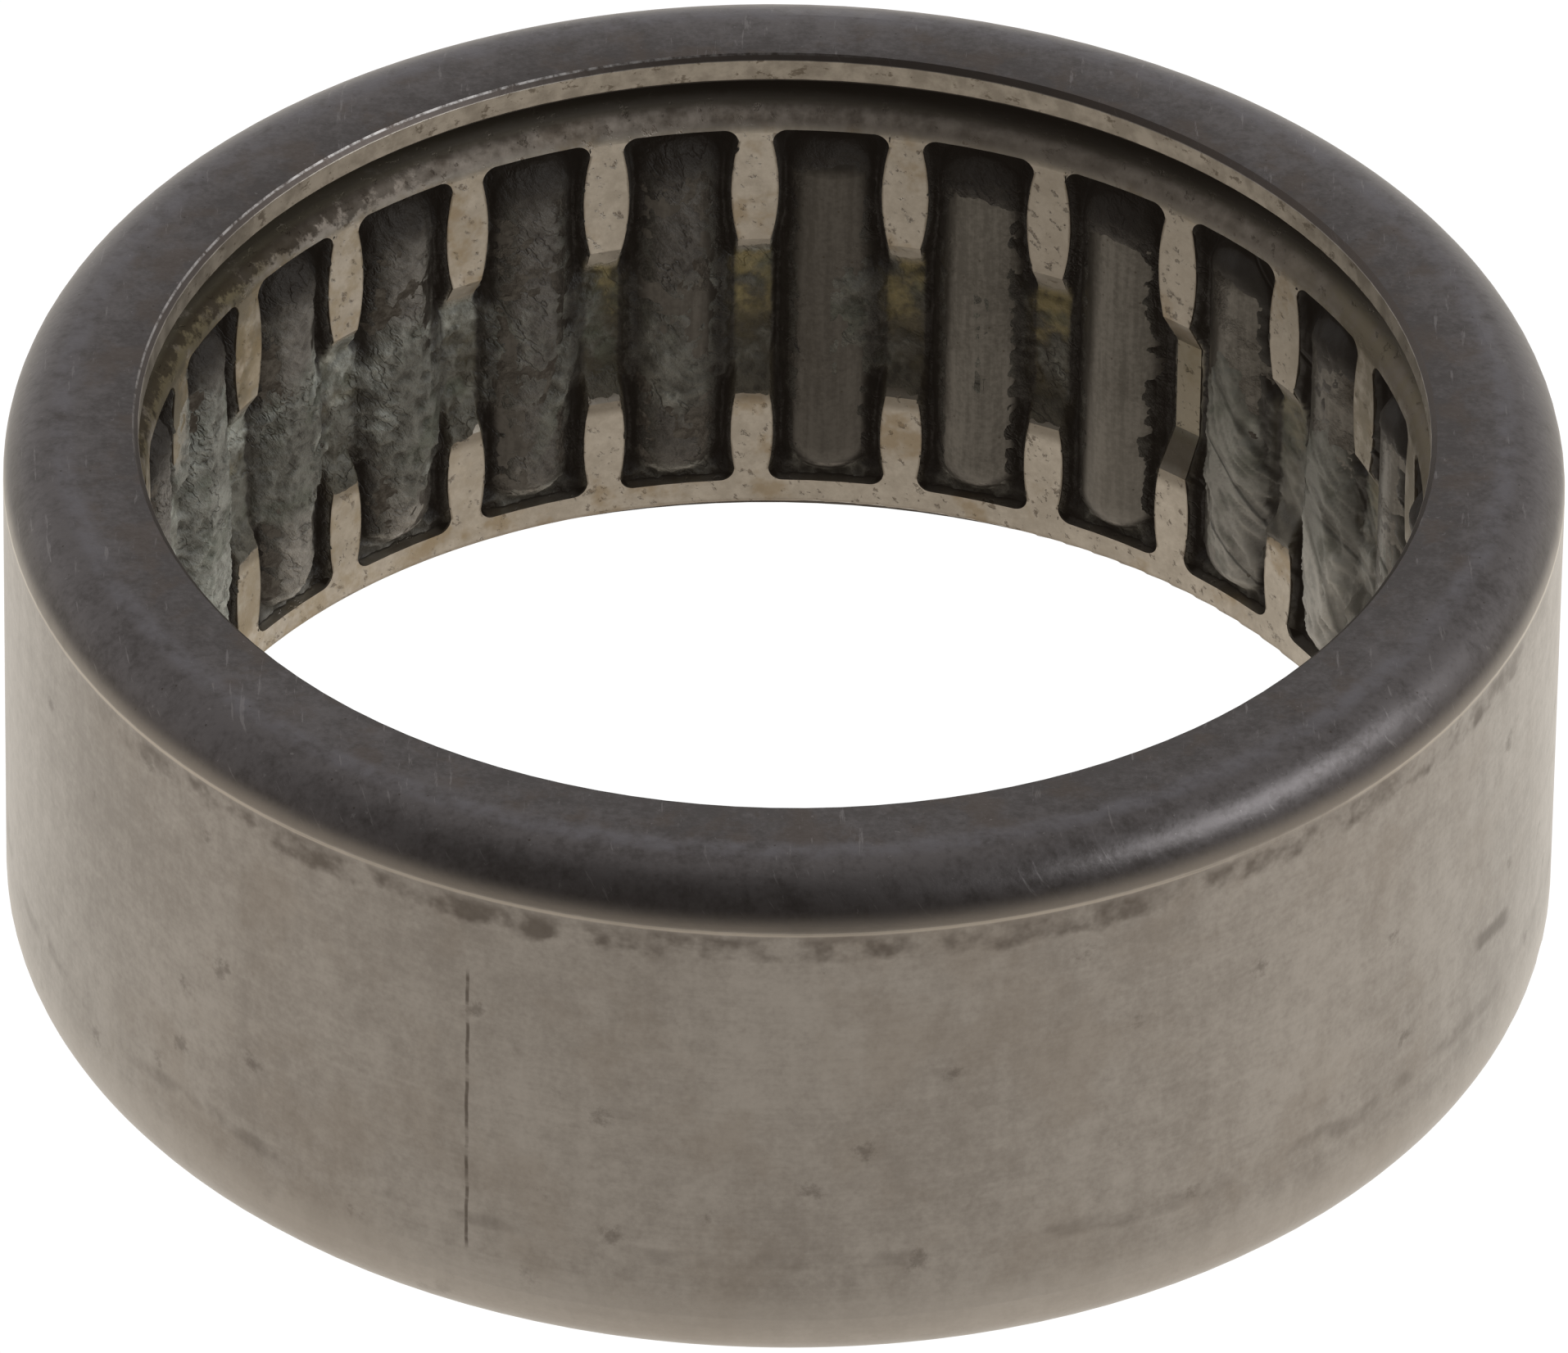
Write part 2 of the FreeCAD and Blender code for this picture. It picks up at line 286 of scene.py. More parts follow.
def ground_marks(g, front):
    """Dark marks on the ground outside, 0 to 1: smudges, a long scratch, a rub, a low line and flecks.

    front is the turn from the near side, positive on the right.
    """
    patchy = g.noise(0.9, 3.0, 0.6)
    under_bend = g.band(g.shifted(g.z, patchy, 0.45), 7.45, 0.25, 0.45)
    smudgy = g.step(g.plus(g.times(g.noise(0.55, 2.0), 0.5), g.times(patchy, 0.5)), 0.40, 0.62)
    smudge = g.times(under_bend, g.band(front, 0.12, 0.95, 0.35), smudgy)

    wander = g.noise(0.6, 2.0, vector=g.drawn(0.0, 1.0))
    line = g.band(g.shifted(front, wander, 0.0035), math.radians(-22.8), 0.0012, 0.0022)
    broken = g.step(g.noise(1.3, 3.0, vector=g.drawn(0.1, 1.0)), 0.30, 0.55)
    scratch = g.times(line, g.band(g.z, -0.75, 5.3, 0.5), broken)

    slant = g.plus(g.z, g.times(front, 4.6))
    rub = g.times(g.band(g.shifted(slant, patchy, 0.3), 2.55, 0.12, 0.35),
                  g.band(front, math.radians(66), 0.035, 0.03))
    wavy = g.noise(0.16, 2.0, vector=g.drawn(1.0, 0.0))
    low_line = g.times(g.band(g.shifted(g.z, wavy, 0.9), -5.3, 0.12, 0.35),
                       g.step(g.noise(0.5, 3.0), 0.42, 0.66))
    fleck = g.fall(g.shifted(g.cells(0.34), g.noise(2.2, 4.0, 0.7), 0.22), 0.02, 0.16)
    return g.most(g.times(smudge, 0.72), g.times(scratch, 0.75), g.times(rub, 0.6), g.times(low_line, 0.3),
                  g.times(fleck, 0.42))


def cup_material():
    """Ground steel outside, heat-darkened upper lip and bend, bare steel in the lip's bore."""
    g = Finish("cup_steel")
    front = g.math("ARCTAN2", g.x, g.times(g.y, -1.0))
    fine = g.noise(4.5, 3.0, 0.6)
    mottle = g.noise(1.1, 4.0, 0.6)
    cloud = g.noise(0.13, 4.0, 0.55)
    upright = g.noise(1.0, 3.0, 0.6, g.drawn(0.9, 0.10))
    rings = g.noise(1.0, 3.0, 0.6, g.drawn(0.08, 5.0, 5.0))

    tone = g.plus(g.times(fine, 0.22), g.times(mottle, 0.26), g.times(cloud, 0.30), g.times(upright, 0.16),
                  g.times(rings, 0.10))
    ground = g.mix(g.step(tone, 0.37, 0.67), *GROUND)
    ground = g.over(ground, GROUND_STAIN, g.step(g.noise(0.22, 5.0, 0.62), 0.48, 0.66),
                    g.band(front, 0.1, 0.9, 0.5), 0.30)
    grain = g.step(g.noise(2.2, 4.0, 0.7, g.drawn(1.0, 0.55)), 0.56, 0.70)
    ground = g.over(ground, GROUND_GRAIN, grain, 0.10)
    ground = g.over(ground, GROUND_MARK, ground_marks(g, front))
    # painted reflection: the ground outside lightens towards its foot as if it mirrored the pale floor
    ground = g.over(ground, GROUND_FLOOR_REFLECTION, g.fall(g.z, -7.8, -6.2), 0.45)

    outwards = g.math("MINIMUM", g.less(g.radius, 22.8), 1.2)
    # the dark tone also lightens towards the lip's outer edge: painted shading of the lip's slight crown
    dark_tone = g.plus(g.times(fine, 0.3), g.times(mottle, 0.4), g.times(cloud, 0.3),
                       g.times(outwards, 0.055))
    dark = g.mix(g.step(dark_tone, 0.39, 0.64), *HEATED)
    dark = g.over(dark, HEATED_TAN, g.step(g.noise(0.5, 4.0, 0.62), 0.48, 0.64),
                  g.fall(g.radius, 23.4, 24.4), 0.55)
    # a lighter bluish line along the crest where the flat turns into the bend: partly polished wear, partly
    # a painted highlight of the curvature
    dark = g.over(dark, CREST_POLISH_AND_SHEEN, g.band(g.radius, TOP_FLAT + 0.05, 0.12, 0.45),
                  g.step(mottle, 0.25, 0.7), 0.5)
    dark = g.over(dark, HEATED_SPECK, g.fall(g.cells(1.3), 0.03, 0.075), 0.7)
    hairs = g.most(g.step(g.noise(1.0, 4.0, 0.7, g.slanted(0.5, 4.5)), 0.62, 0.70),
                   g.step(g.noise(1.0, 4.0, 0.7, g.drawn(4.0, 0.6)), 0.64, 0.72))
    dark = g.over(dark, HEATED_HAIR, hairs, 0.4)

    # the edge of the lip's bore: a dark chamfer, with a thin dashed bright line on the left, partly worn
    # edge and partly painted glints
    dark = g.over(dark, LIP_CHAMFER, g.fall(g.radius, TOP_LIP_BORE + 0.16, TOP_LIP_BORE + 0.22), 0.8)
    dashes = g.step(g.noise(2.2, 4.0, 0.7), 0.36, 0.60)
    dark = g.over(dark, EDGE_WEAR_AND_GLINT, g.band(g.radius, TOP_LIP_BORE + 0.17, 0.015, 0.03), dashes,
                  g.band(g.turn, math.radians(-47), 0.45, 0.6), 0.75)

    # the dark colour fades out above the seat, and a thin painted highlight, the glint of a small bevel,
    # marks the seat's upper end
    darkened = g.step(g.shifted(g.z, mottle, 0.10), SEAT_TOP + 0.10, SEAT_TOP + 0.85)
    ground = g.mix(g.step(g.z, SEAT_TOP, SEAT_TOP + 0.2), ground, SEAT_END)
    outside = g.mix(darkened, ground, dark)
    outside = g.over(outside, SEAT_GLINT, g.band(g.z, SEAT_TOP + 0.01, 0.035, 0.06),
                     g.step(rings, 0.15, 0.55), 0.75)

    bare = g.mix(g.step(mottle, 0.35, 0.65), *BARE)
    bare = g.over(bare, BARE_PIT, g.step(g.noise(1.5, 5.0, 0.72, g.drawn(1.0, 1.5)), 0.575, 0.64), 0.7)
    inner = g.mix(g.step(g.z, LIP_UNDERSIDE + 0.05, LIP_UNDERSIDE + 0.20), BARE_DEEP, bare)
    chamfer = g.times(g.step(g.z, HALF_WIDTH - 0.28, HALF_WIDTH - 0.20),
                      g.step(g.radius, TOP_LIP_BORE, TOP_LIP_BORE + 0.08))
    top_face = g.times(g.step(g.z, LIP_UNDERSIDE + 0.15, LIP_UNDERSIDE + 0.25),
                       g.step(g.radius, 22.5, 22.6))
    skin = g.most(g.step(g.radius, WALL_RADIUS + 0.10, WALL_RADIUS + 0.25), chamfer,
                  g.step(g.z, HALF_WIDTH - 0.22, HALF_WIDTH - 0.17), top_face)
    colour = g.mix(skin, inner, outside)

    rough = g.blend(darkened, g.blend(tone, 0.36, 0.50), g.blend(mottle, 0.34, 0.46))
    crown = g.times(outwards, outwards, -1.0)
    bumpy = g.bump(g.noise(7.0, 2.0), 0.0035, g.bump(mottle, 0.012, g.bump(crown, 0.022)))
    return g.done(colour, rough, g.bump(rings, 0.003, bumpy))


# ---- the cage -------------------------------------------------------------------------------------
STRIP = (0.425, 0.393, 0.340), (0.580, 0.545, 0.482)
STRIP_PIT = (0.125, 0.090, 0.062)
STRIP_STAIN = (0.32, 0.245, 0.145)
BEND_BROWN = (0.085, 0.068, 0.053), (0.25, 0.218, 0.185)
BEND_DIRT = (0.075, 0.060, 0.042)
LAND_DIRT = (0.125, 0.105, 0.055)
FLANGE = (0.42, 0.38, 0.35), (0.64, 0.58, 0.53)
FLANGE_SHADOW = (0.030, 0.026, 0.020)
CAKED_DIRT = (0.022, 0.017, 0.011)
FOOT_EDGE = (0.17, 0.13, 0.095)
RIGHT_PAINTED_SHADE = (0.225, 0.20, 0.165)
LEFT_STAIN = (0.33, 0.265, 0.155)
LEFT_FOOT_STAIN = (0.225, 0.195, 0.140)
UNDER_WAIST_SHADE = (0.10, 0.082, 0.056)
BAR_EDGE = (0.105, 0.085, 0.060)
POCKET_SIDE_SHADE = (0.035, 0.028, 0.018)
WAIST_OIL = (0.145, 0.130, 0.085)


def cage_material():
    """Stamped strip: bare beige-grey steel with small dark pits, brown stains, and a dark upper flange."""
    g = Finish("cage_steel")
    fine = g.noise(5.0, 3.0, 0.6)
    mottle = g.noise(1.4, 4.0, 0.6)
    cloud = g.noise(0.35, 3.0, 0.5)
    tone = g.plus(g.times(fine, 0.25), g.times(mottle, 0.4), g.times(cloud, 0.35))
    steel = g.mix(g.step(tone, 0.36, 0.66), *STRIP)
    strokes = g.noise(1.0, 5.0, 0.72, g.slanted(1.7, 3.0))
    pits = g.step(g.plus(g.times(strokes, 0.65), g.times(g.noise(3.4, 3.0), 0.35)), 0.56, 0.64)
    steel = g.over(steel, STRIP_PIT, pits, 0.62)
    steel = g.over(steel, STRIP_STAIN, g.step(g.noise(0.42, 4.0, 0.65), 0.52, 0.66), 0.6)

    # the bend from the upper land into the flange, the flange with a painted shadow on its outer part under
    # the lip, and the dirt on both
    bend = g.step(g.shifted(g.z, mottle, 0.12), 6.95, 7.45)
    far = g.step(g.size_of(g.turn), math.radians(48), math.radians(62))
    brown = g.mix(g.step(mottle, 0.3, 0.7), *BEND_BROWN)
    brown = g.over(brown, BEND_DIRT, far, g.blend(mottle, 0.5, 1.0))
    steel = g.over(steel, brown, bend, 0.9)
    steel = g.over(steel, LAND_DIRT, far, g.step(g.z, 1.8, 3.2),
                   g.step(g.noise(0.8, 4.0, 0.6), 0.34, 0.56), 0.75)
    # painted shadow: the flange goes near black outwards, where it lies under the lip
    under_lip_shadow = g.step(g.shifted(g.radius, mottle, 0.25), 22.2, 22.8)
    flange = g.mix(under_lip_shadow, g.mix(mottle, *FLANGE), FLANGE_SHADOW)
    steel = g.over(steel, flange, g.step(g.z, CAGE_TOP - 0.10, CAGE_TOP - 0.02),
                   g.step(g.radius, 21.8, 22.2))
    crumbly = g.shifted(g.z, g.noise(1.3, 5.0, 0.72), 1.3)
    steel = g.over(steel, CAKED_DIRT, g.left_of(-20, -50), g.step(crumbly, 7.30, 7.65), 0.80)

    # stains on the lands, with painted shade on the right and below the set-back middle
    steel = g.over(steel, FOOT_EDGE, g.fall(g.z, CAGE_FOOT + 0.03, CAGE_FOOT + 0.23), 0.6)
    # painted shade: the lands on the right are darkened as if they mirrored the shaded floor in the bore
    steel = g.over(steel, RIGHT_PAINTED_SHADE, g.step(g.turn, 0.0, 0.4), g.step(g.z, -3.0, 0.5), 0.36)
    yellow = g.times(g.fall(g.turn, -0.9, -0.3), g.step(g.noise(0.9, 4.0, 0.65), 0.40, 0.60))
    steel = g.over(steel, LEFT_STAIN, yellow, g.fall(bend, 0.0, 0.6), 0.5)
    left_foot = g.times(g.fall(g.turn, -0.95, -0.5), g.fall(g.z, -5.0, -3.4), g.step(g.z, -7.4, -6.6))
    steel = g.over(steel, LEFT_FOOT_STAIN, left_foot, 0.45)
    # painted shade below the set-back middle and on the slope down to the lower land
    under_waist_shade = g.band(g.shifted(g.z, mottle, 0.15), -3.35, 0.65, 0.45)
    steel = g.over(steel, UNDER_WAIST_SHADE, under_waist_shade, g.blend(g.step(g.radius, 21.32, 21.5), 0.55, 0.85))

    # dirt along the swelling edges of the bars and on the set-back middle, and painted shade on the pockets'
    # sides
    aside = g.beside_bar()
    bar_half = PITCH_TURN / 2 * LAND_RADIUS - POCKET_HALF
    for middle, reach, swell in SWELLINGS:
        along = g.math("DIVIDE", g.less(g.z, middle), reach)
        swollen = g.times(g.less(1.0, g.times(along, along)), swell)
        inside = g.less(g.plus(swollen, bar_half), g.shifted(aside, mottle, 0.08))
        steel = g.over(steel, BAR_EDGE, g.fall(inside, 0.0, 0.10), g.band(g.z, middle, reach, 0.1), 0.7)
    # painted shade: the pockets' cut sides are made near black
    on_land = g.times(g.step(g.size_of(g.plus(g.z, 0.6)), 3.2, 3.4), g.band(g.z, -0.25, 7.2, 0.1))
    steel = g.over(steel, POCKET_SIDE_SHADE, on_land, g.step(g.radius, LAND_RADIUS + 0.04, LAND_RADIUS + 0.12))
    set_back = g.times(g.step(g.radius, 21.75, 22.05), g.fall(g.radius, 23.0, 23.4))
    steel = g.over(steel, WAIST_OIL, set_back, g.blend(cloud, 0.3, 0.95))

    rough = g.blend(bend, g.blend(tone, 0.34, 0.52), 0.68)
    bumpy = g.bump(g.noise(6.0, 2.0), 0.004, g.bump(mottle, 0.015))
    return g.done(steel, rough, g.bump(pits, -0.02, bumpy))


# ---- the rollers ----------------------------------------------------------------------------------
ROLLER = (0.105, 0.101, 0.091), (0.166, 0.160, 0.146)
ROLLER_LEFT_DARK = (0.030, 0.027, 0.024)
ROLLER_FOOT = (0.235, 0.225, 0.205)
ROLLER_FILM = (0.046, 0.041, 0.035), (0.125, 0.119, 0.106)
ROLLER_END_HIGHLIGHT = (0.42, 0.40, 0.37)
ROLLER_TOP_SHADE = (0.022, 0.018, 0.013)
ROLLER_SPECK = (0.045, 0.036, 0.026)


def roller_material():
    """Ground roller under a thin, dragged film of dark grease."""
    g = Finish("roller_steel")
    fine = g.noise(5.0, 3.0, 0.6)
    dragged = g.noise(1.0, 4.0, 0.6, g.drawn(3.0, 0.25))
    wrinkles = g.noise(2.4, 5.0, 0.66)
    patches = g.noise(0.35, 3.0, 0.5)
    tone = g.plus(g.times(dragged, 0.6), g.times(fine, 0.4))
    colour = g.mix(g.step(tone, 0.38, 0.62), *ROLLER)
    # darker on every roller left of about 8 degrees, fading out by 13
    colour = g.over(colour, ROLLER_LEFT_DARK, g.left_of(13, 8), 0.45)
    colour = g.over(colour, ROLLER_FOOT, g.right_of(18, 32), g.fall(g.z, -5.0, 0.0), 0.25)

    # the film is patchy, thicker on the left, and thin on the satin rollers from 2 to 38 degrees
    greasy = g.plus(g.shifted(patches, wrinkles, 0.14), g.times(g.left_of(-5, -30), 0.10))
    satin = g.band(g.turn, math.radians(20), math.radians(18), math.radians(3))
    greasy = g.times(g.step(greasy, 0.48, 0.62), g.blend(satin, 1.0, 0.25))
    colour = g.over(colour, g.mix(g.step(wrinkles, 0.40, 0.66), *ROLLER_FILM), greasy, 0.9)

    # painted highlight: a light ring where the lower dome begins, as if it mirrored the pale floor
    end_highlight = g.times(g.band(g.shifted(g.z, fine, 0.05), -6.85, 0.06, 0.16), g.step(fine, 0.3, 0.6))
    colour = g.over(colour, ROLLER_END_HIGHLIGHT, end_highlight, 0.7)
    # painted shade: the upper ends go near black under the cage's top edge and the lip
    colour = g.over(colour, ROLLER_TOP_SHADE, g.step(g.shifted(g.z, patches, 0.4), 5.2, 6.5))
    colour = g.over(colour, ROLLER_SPECK, g.fall(g.cells(1.6), 0.04, 0.09), 0.6)
    rough = g.blend(greasy, g.blend(dragged, 0.36, 0.44), g.blend(wrinkles, 0.38, 0.54))
    ridges = g.times(wrinkles, g.blend(greasy, 0.08, 1.0))
    return g.done(colour, rough, g.bump(ridges, 0.06, g.bump(tone, 0.003)))


# ---- the grease -----------------------------------------------------------------------------------
# pairs run from the hollows to the crests of its relief, partly the grease's own tone and partly painted
# shading of the relief, and OLIVE from brown to yellow
PACKED_DIRT_AND_SHADE = (0.014, 0.013, 0.010), (0.078, 0.077, 0.063)
PACKED_DIRT_AND_SHADE_LEFT = (0.045, 0.042, 0.034), (0.170, 0.160, 0.135)
FILM = (0.030, 0.026, 0.022), (0.122, 0.115, 0.102)
THIN_FILM = (0.125, 0.116, 0.100), (0.310, 0.290, 0.252)
TOP_SHADE_BLACK = (0.009, 0.007, 0.005)
FOOT_HIGHLIGHT = (0.110, 0.108, 0.092), (0.400, 0.395, 0.360)
FOOT_HIGHLIGHT_LEFT = (0.24, 0.23, 0.20), (0.62, 0.60, 0.55)
GREY = (0.038, 0.037, 0.029), (0.175, 0.175, 0.150)
PALE = (0.120, 0.125, 0.104), (0.47, 0.485, 0.435)
PALE_RIGHT = (0.24, 0.235, 0.215), (0.68, 0.67, 0.62)
OLIVE = (0.044, 0.037, 0.016), (0.260, 0.212, 0.086)
OLIVE_LOW_SHADE = (0.026, 0.021, 0.009)
GREEN = (0.020, 0.028, 0.014), (0.105, 0.122, 0.088)
GAP_SHADE = (0.007, 0.006, 0.0045)
BAR_FILM = (0.30, 0.275, 0.225)
BAR_FOOT_SHADE = (0.020, 0.017, 0.010), (0.066, 0.056, 0.034)


def grease_material():
    """Dirty grease: dark between the rollers from dirt and painted shade, olive on the bars' middles,
    grey-green where it is wiped.
    """
    g = Finish("grease")
    thick, smear, fold, gap = g.stored("thick"), g.stored("smear"), g.stored("fold"), g.stored("gap")
    grain = g.noise(2.6, 4.0, 0.68)
    broad = g.noise(0.45, 3.0, 0.55)
    leftward = g.left_of(-20, -34)
    rightward = g.right_of(34, 44)
    sides = g.most(g.right_of(34, 50), g.left_of(-50, -66))
    lower = g.fall(g.z, -4.5, 1.5)

    # relief: torn on the left and in the middle, long strokes on the right
    torn = g.noise(1.0, 5.0, 0.72, g.slanted(1.1, 2.1))
    stroke = g.noise(1.0, 2.5, 0.5, g.slanted(0.06, 0.42))
    ridge = g.blend(rightward, g.step(torn, 0.40, 0.62), g.step(stroke, 0.36, 0.64))
    short_creases = g.times(g.creases(0.8, 0.030, g.slanted(0.70, 1.4)), g.step(broad, 0.42, 0.60))
    crease = g.blend(rightward, short_creases, g.creases(1.0, 0.020, g.slanted(0.05, 0.26), 1.0))
    tone = g.plus(g.times(fold, 0.35), g.times(grain, 0.65))
    # crest lights the colour on the relief's crests and crease darkens it in the creases: painted shading of
    # the relief, mixed with the grease's own grain
    crest = g.math("ADD", g.times(g.step(tone, 0.26, 0.62), 0.55), g.times(ridge, 0.45), clamp=True)
    crest = g.times(crest, g.less(1.0, g.times(crease, g.blend(leftward, 0.6, 0.25))))

    # packed between the rollers, dark as dirt and as painted shade on the rollers' sides, and a film on
    # their crowns
    aside = g.beside_bar()
    on_crown = g.times(g.fall(g.radius, 21.03, 21.32), g.step(aside, 0.95, 1.25))
    dirt_and_shade = g.over(g.mix(crest, *PACKED_DIRT_AND_SHADE), g.mix(crest, *PACKED_DIRT_AND_SHADE_LEFT), leftward, 0.45)
    film = g.over(g.mix(crest, *FILM), g.mix(crest, *THIN_FILM), leftward,
                  g.blend(g.fall(g.z, -4.6, -1.6), 0.35, 1.0))
    colour = g.mix(on_crown, dirt_and_shade, film)
    # painted shade: near black towards the rollers' upper ends, under the cage's top edge and the lip
    shaded_top = g.step(g.shifted(g.z, broad, 0.5), 4.4, 6.2)
    colour = g.over(colour, TOP_SHADE_BLACK, shaded_top, 0.92)
    # painted highlight: a light band on the grease at each roller's lower dome, brighter on the left
    foot_highlight = g.over(g.mix(crest, *FOOT_HIGHLIGHT), g.mix(crest, *FOOT_HIGHLIGHT_LEFT), leftward, 0.7)
    colour = g.over(colour, foot_highlight, g.fall(g.z, -6.9, -6.4), g.fall(g.radius, 21.5, 21.8), 0.85)

    # wiped sheets, pale at both sides
    pale = g.over(g.mix(crest, *PALE), g.mix(crest, *PALE_RIGHT), rightward, lower)
    lumps = g.times(g.step(broad, 0.54, 0.66), g.blend(on_crown, 0.9, 0.35))
    pale_sides = g.times(sides, g.blend(broad, 0.7, 1.0), g.blend(lower, 0.32, 1.0))
    wiped = g.mix(g.most(pale_sides, lumps), g.mix(crest, *GREY), pale)

    # olive in the bars' set-back middles, browner and darker towards the foot as painted shade
    yellow = g.plus(g.noise(0.7, 4.0, 0.62), g.times(g.z, 0.025), g.times(g.left_of(-4, -14), -0.09))
    olive = g.mix(g.step(yellow, 0.40, 0.62), *OLIVE)
    olive = g.over(olive, OLIVE_LOW_SHADE, g.fall(g.shifted(g.z, g.noise(0.8, 4.0, 0.62), 1.1), -1.3, -0.3), 0.78)
    deep = g.times(g.step(g.radius, 21.55, 21.8), g.step(g.noise(0.7, 3.0), 0.30, 0.52))
    open_side = g.most(sides, leftward)
    wiped = g.over(wiped, olive, deep, g.blend(open_side, 0.9, 0.35))
    fresh = g.times(g.band(g.shifted(g.z, grain, 0.5), 1.3, 0.6, 0.7), g.fall(aside, 0.9, 1.6), leftward)
    wiped = g.over(wiped, pale, fresh, 0.65)
    wiped = g.over(wiped, g.mix(crest, *GREEN), g.step(g.noise(0.55, 3.0), 0.52, 0.66), 0.5)
    colour = g.mix(smear, colour, wiped)

    # painted shade: black where it closes the gap beside a roller and dark at the bars' feet; a light film
    # on the bars
    gap_shade = g.times(gap, g.step(g.shifted(broad, grain, 0.2), 0.22, 0.40),
                   g.blend(smear, 1.0, g.blend(open_side, 0.70, 0.35)))
    colour = g.over(colour, GAP_SHADE, gap_shade, 0.95)
    film_on_bar = g.times(g.fall(aside, 0.45, 0.70), g.fall(thick, 0.0, 0.55), g.step(g.z, -2.0, 0.0))
    colour = g.over(colour, BAR_FILM, film_on_bar, 0.8)
    bar_foot_shade = g.times(g.fall(aside, 0.60, 0.85), g.fall(g.shifted(g.z, grain, 0.3), -3.3, -2.2))
    colour = g.over(colour, g.mix(crest, *BAR_FOOT_SHADE), bar_foot_shade, 0.75)

    rough = g.blend(shaded_top, g.blend(crest, 0.34, 0.50), 0.62)
    height = g.blend(rightward, g.plus(torn, g.times(grain, 0.5)),
                     g.plus(g.times(stroke, 1.2), g.times(grain, 0.15)))
    height = g.times(g.less(height, g.times(crease, 0.35)), g.less(1.0, g.times(deep, 0.5)))
    return g.done(colour, rough, g.bump(height, 0.22), metallic=0.0, Specular_IOR_Level=0.27)


# ---- the grease's shape ---------------------------------------------------------------------------
POCKET_LEVEL = 22.35         # radius of the grease's face in a pocket
FILLED_RISE = 0.55           # towards the bore, where the pocket is filled and at its foot
POCKET_SLOPE = 3.0           # of the face, from a bar's edge into the pocket
SEAM = math.radians(175)     # film and folds end about here, before the turn jumps back at 180 degrees
LEFT_OUT = -0.035            # a face whose corners are all thinner than this is left out


def clamp(value, low, high):
    return min(max(value, low), high)


def share_of(value, low, high):
    """0 at low, 1 at high, smooth between them."""
    share = clamp((value - low) / (high - low), 0.0, 1.0)
    return share * share * (3.0 - 2.0 * share)


def smooth_least(first, second, reach):
    """The smaller of two numbers, with a fillet of that reach where they are alike."""
    share = clamp(0.5 + 0.5 * (second - first) / reach, 0.0, 1.0)
    return second + (first - second) * share - reach * share * (1.0 - share)


def wrapped(turn):
    return (turn + math.pi) % (2 * math.pi) - math.pi


def off_roller(turn):
    """Turn from the axis of the nearest roller."""
    return (turn - FIRST_TURN + PITCH_TURN / 2) % PITCH_TURN - PITCH_TURN / 2


def roller_face(turn, height):
    """Radius of the roller's inner side.  Beside the roller it stays at the roller's widest place."""
    across = PITCH_RADIUS * math.sin(off_roller(turn))
    over = max(height - DOME_TOP, DOME_FOOT - height, 0.0)
    shrink = ROLLER_DOME - math.sqrt(max(ROLLER_DOME ** 2 - over ** 2, 0.0))
    width = ROLLER_RADIUS - shrink
    return PITCH_RADIUS - math.sqrt(max(width ** 2 - across ** 2, 0.0))


def into_bar(turn, height):
    """Distance from the nearest pocket's side, positive inside a bar."""
    half = POCKET_HALF
    for middle, reach, swell in SWELLINGS:
        along = (height - middle) / reach
        if abs(along) < 1.0:
            half -= swell * (1.0 - along ** 2)
    return abs(LAND_RADIUS * math.sin(off_roller(turn))) - half


def wall_face(turn, height, filled):
    """Radius of the cage's inner side.  In a pocket it falls back to the grease's own level."""
    if height > TOP_WAIST:
        share = min((height - TOP_WAIST) / (TOP_LAND_END - TOP_WAIST), 1.0)
    elif height < FOOT_WAIST:
        share = min((FOOT_WAIST - height) / (FOOT_WAIST - FOOT_LAND_END), 1.0)
    else:
        share = 0.0
    bar = WAIST_RADIUS + (LAND_RADIUS - WAIST_RADIUS) * share
    level = POCKET_LEVEL - FILLED_RISE * max(share_of(height, -6.5, -7.1), filled)
    return min(bar + POCKET_SLOPE * max(-into_bar(turn, height), 0.0), level)


def ridged(place, octaves=3):
    """Folds with sharp crests, 0 to about 1."""
    total, size, weight = 0.0, 1.0, 0.6
    for _ in range(octaves):
        total += weight * (1.0 - abs(noise.noise(place * size)) * 2.4)
        size *= 2.1
        weight *= 0.5
    return clamp(total, 0.0, 1.0)


